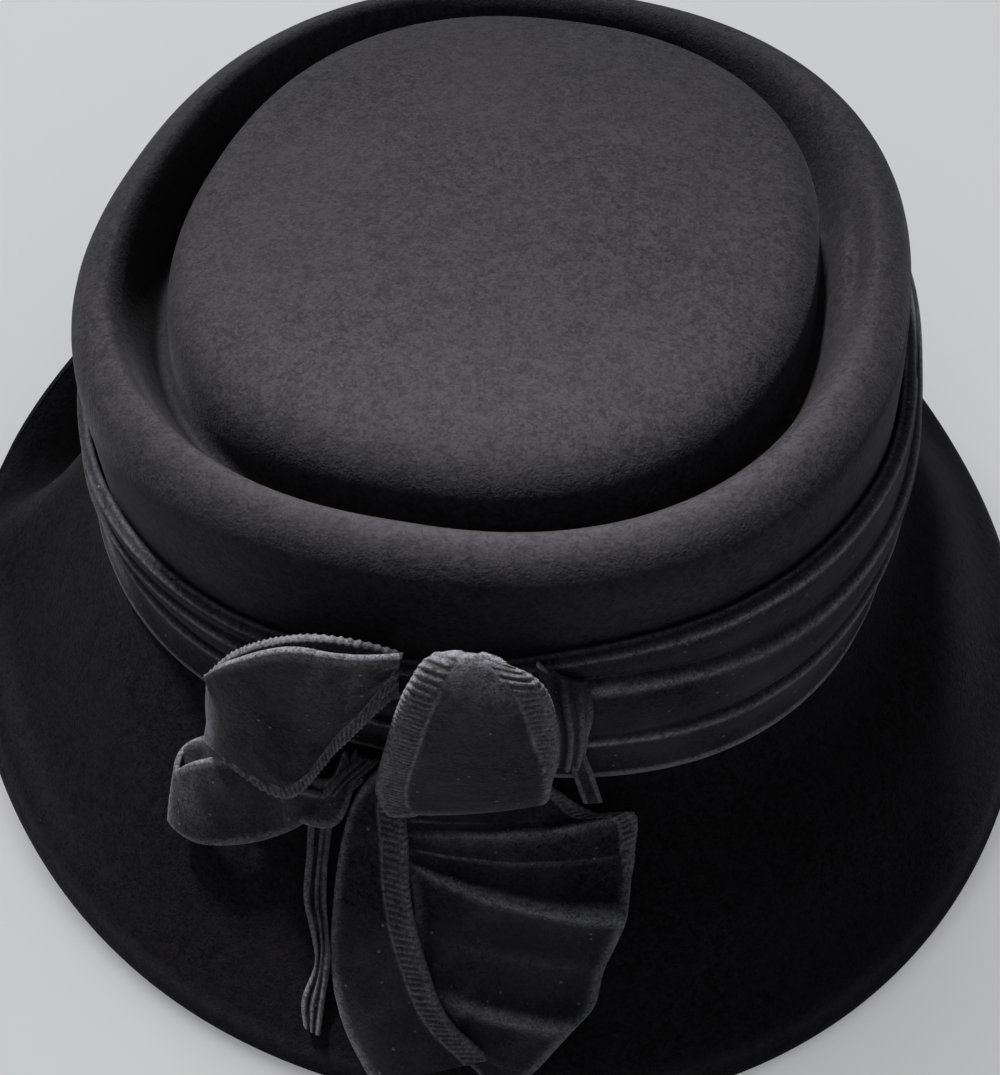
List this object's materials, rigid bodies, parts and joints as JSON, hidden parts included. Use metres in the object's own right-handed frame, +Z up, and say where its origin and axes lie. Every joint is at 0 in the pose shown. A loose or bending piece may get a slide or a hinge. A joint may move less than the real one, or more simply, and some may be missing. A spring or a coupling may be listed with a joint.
{
  "type": "cloche hat",
  "caption": "Felt cloche hat with a sunk crown tip, a draped velvet sash, a flat velvet bow with hanging tails at the front and a downturned brim turned up behind.",
  "frame": {"origin": "on the table, under the middle of the hat's bounding box", "axes": "+Z up, -Y towards the front of the hat, +X to the wearer's left"},
  "size_m": [0.2704, 0.2756, 0.1257],
  "materials": {
    "felt": "matt brushed felt",
    "velvet": "soft velvet pile"
  },
  "bodies": {
    "root": {"felt_body": "felt", "velvet_sash": "velvet", "bow_loop_upper": "velvet", "bow_loop_lower": "velvet", "bow_loop_front": "velvet", "bow_tail_narrow": "velvet", "bow_tail_middle": "velvet", "bow_tail_wide": "velvet", "bow_knot": "velvet", "bow_tuck": "velvet"}
  },
  "joints": []
}
